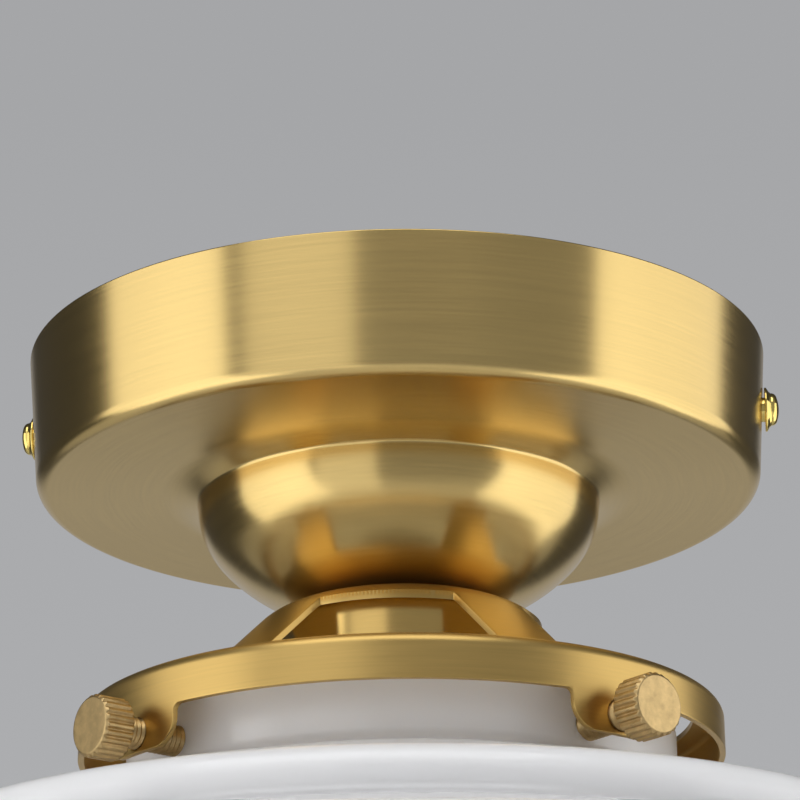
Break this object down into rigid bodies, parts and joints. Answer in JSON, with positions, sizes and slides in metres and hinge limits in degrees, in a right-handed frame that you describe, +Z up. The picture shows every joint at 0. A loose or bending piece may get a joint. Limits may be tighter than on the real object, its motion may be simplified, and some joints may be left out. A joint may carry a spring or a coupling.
{
  "type": "flush mount ceiling light",
  "caption": "Flush ceiling light with a spun brass pan and round neck, a stamped gallery with thumbscrews and a stepped opal glass shade around a screw-cap bulb.",
  "frame": {"origin": "centre between the two ceiling slots, on the ceiling plane that the bracket and the canopy's rim share", "axes": "+Z up into the ceiling along the lamp's axis, X along the ceiling bracket from one canopy screw to the other"},
  "size_m": [0.244, 0.244, 0.1962],
  "materials": {
    "spun_brass": "brushed lacquered brass",
    "stamped_brass": "brushed brass",
    "polished_brass": "polished brass",
    "turned_brass": "raw turned brass",
    "plain_brass": "plain brass fittings",
    "nickel_brass": "nickel plated shell",
    "zinc_steel": "zinc plated steel",
    "opal_glass": "gloss opal",
    "bulb_glass": "frosted",
    "bulb_cap_metal": "nickel plated cap",
    "glazed_porcelain": "glazed white porcelain",
    "black_glass": "black glass",
    "block_plastic": "natural nylon",
    "bush_plastic": "black nylon",
    "live_sleeve": "brown insulation",
    "neutral_sleeve": "blue insulation",
    "earth_sleeve": "green and yellow insulation",
    "tinned_copper": "tinned copper"
  },
  "bodies": {
    "ceiling_fitting": {"block_clamps": "plain_brass", "block_screws": "zinc_steel", "canopy": "spun_brass", "ceiling_bracket": "zinc_steel", "centre_contact": "plain_brass", "cup_nut": "zinc_steel", "earth_lead": "earth_sleeve", "earth_screw": "plain_brass", "earth_terminal": "tinned_copper", "fixing_screws": "zinc_steel", "gallery": "stamped_brass", "hub_washer": "zinc_steel", "live_lead": "live_sleeve", "live_terminal": "plain_brass", "neck_nut": "zinc_steel", "neck_washer": "zinc_steel", "neutral_lead": "neutral_sleeve", "neutral_terminal": "plain_brass", "nipple": "zinc_steel", "nipple_bush": "bush_plastic", "porcelain_socket": "glazed_porcelain", "screw_shell": "nickel_brass", "socket_bridge": "zinc_steel", "socket_cup": "stamped_brass", "terminal_block": "block_plastic", "terminal_screws": "zinc_steel"},
    "thumb_stud_front_right": {"thumb_stud_front_right": "turned_brass"},
    "thumb_head_front_right": {"thumb_head_front_right": "turned_brass"},
    "thumb_stud_back_right": {"thumb_stud_back_right": "turned_brass"},
    "thumb_head_back_right": {"thumb_head_back_right": "turned_brass"},
    "thumb_stud_back_left": {"thumb_stud_back_left": "turned_brass"},
    "thumb_head_back_left": {"thumb_head_back_left": "turned_brass"},
    "thumb_stud_front_left": {"thumb_stud_front_left": "turned_brass"},
    "thumb_head_front_left": {"thumb_head_front_left": "turned_brass"},
    "canopy_screw_shank_right": {"canopy_screw_shank_right": "polished_brass"},
    "canopy_screw_cap_right": {"canopy_screw_cap_right": "polished_brass"},
    "canopy_screw_shank_left": {"canopy_screw_shank_left": "polished_brass"},
    "canopy_screw_cap_left": {"canopy_screw_cap_left": "polished_brass"},
    "bulb_cap": {"bulb_cap": "bulb_cap_metal", "bulb_insulator": "black_glass", "bulb_tip": "bulb_cap_metal"},
    "bulb_envelope": {"bulb_envelope": "bulb_glass"},
    "glass_shade": {"glass_shade": "opal_glass"}
  },
  "joints": [
    {"name": "thumb_travel_front_right", "type": "slide", "parent": "ceiling_fitting", "child": "thumb_stud_front_right", "axis": [0.6934, -0.7206, 0], "range_m": [0, 0.004]},
    {"name": "thumb_turn_front_right", "type": "hinge", "parent": "thumb_stud_front_right", "child": "thumb_head_front_right", "pos_m": [0.03945, -0.041, -0.0695], "axis": [0.6934, -0.7206, 0], "range_deg": [0, 1800]},
    {"name": "thumb_travel_back_right", "type": "slide", "parent": "ceiling_fitting", "child": "thumb_stud_back_right", "axis": [0.7206, 0.6934, 0], "range_m": [0, 0.004]},
    {"name": "thumb_turn_back_right", "type": "hinge", "parent": "thumb_stud_back_right", "child": "thumb_head_back_right", "pos_m": [0.041, 0.03945, -0.0695], "axis": [0.7206, 0.6934, 0], "range_deg": [0, 1800]},
    {"name": "thumb_travel_back_left", "type": "slide", "parent": "ceiling_fitting", "child": "thumb_stud_back_left", "axis": [-0.6934, 0.7206, 0], "range_m": [0, 0.004]},
    {"name": "thumb_turn_back_left", "type": "hinge", "parent": "thumb_stud_back_left", "child": "thumb_head_back_left", "pos_m": [-0.03945, 0.041, -0.0695], "axis": [-0.6934, 0.7206, 0], "range_deg": [0, 1800]},
    {"name": "thumb_travel_front_left", "type": "slide", "parent": "ceiling_fitting", "child": "thumb_stud_front_left", "axis": [-0.7206, -0.6934, 0], "range_m": [0, 0.004]},
    {"name": "thumb_turn_front_left", "type": "hinge", "parent": "thumb_stud_front_left", "child": "thumb_head_front_left", "pos_m": [-0.041, -0.03945, -0.0695], "axis": [-0.7206, -0.6934, 0], "range_deg": [0, 1800]},
    {"name": "canopy_screw_travel_right", "type": "slide", "parent": "ceiling_fitting", "child": "canopy_screw_shank_right", "axis": [1, 0, 0], "range_m": [0, 0.0028]},
    {"name": "canopy_screw_turn_right", "type": "hinge", "parent": "canopy_screw_shank_right", "child": "canopy_screw_cap_right", "pos_m": [0.0605, 0, -0.0095], "axis": [1, 0, 0], "range_deg": [0, 1440]},
    {"name": "canopy_screw_travel_left", "type": "slide", "parent": "ceiling_fitting", "child": "canopy_screw_shank_left", "axis": [-1, 0, 0], "range_m": [0, 0.0028]},
    {"name": "canopy_screw_turn_left", "type": "hinge", "parent": "canopy_screw_shank_left", "child": "canopy_screw_cap_left", "pos_m": [-0.0605, 0, -0.0095], "axis": [-1, 0, 0], "range_deg": [0, 1440]},
    {"name": "bulb_travel", "type": "slide", "parent": "ceiling_fitting", "child": "bulb_cap", "axis": [0, 0, -1], "range_m": [0, 0.01815]},
    {"name": "bulb_turn", "type": "hinge", "parent": "bulb_cap", "child": "bulb_envelope", "pos_m": [0, 0, -0.08679], "axis": [0, 0, -1], "range_deg": [0, 1800]},
    {"name": "shade_drop", "type": "slide", "parent": "ceiling_fitting", "child": "glass_shade", "axis": [0, 0, -1], "range_m": [0, 0.11]}
  ],
  "couplings": [
    {"joint": "thumb_turn_front_right", "follows": "thumb_travel_front_right", "rad_per_m": 7854},
    {"joint": "thumb_turn_back_right", "follows": "thumb_travel_back_right", "rad_per_m": 7854},
    {"joint": "thumb_turn_back_left", "follows": "thumb_travel_back_left", "rad_per_m": 7854},
    {"joint": "thumb_turn_front_left", "follows": "thumb_travel_front_left", "rad_per_m": 7854},
    {"joint": "canopy_screw_turn_right", "follows": "canopy_screw_travel_right", "rad_per_m": 8976},
    {"joint": "canopy_screw_turn_left", "follows": "canopy_screw_travel_left", "rad_per_m": 8976},
    {"joint": "bulb_travel", "follows": "bulb_turn", "m_per_rad": 0.00057757}
  ]
}
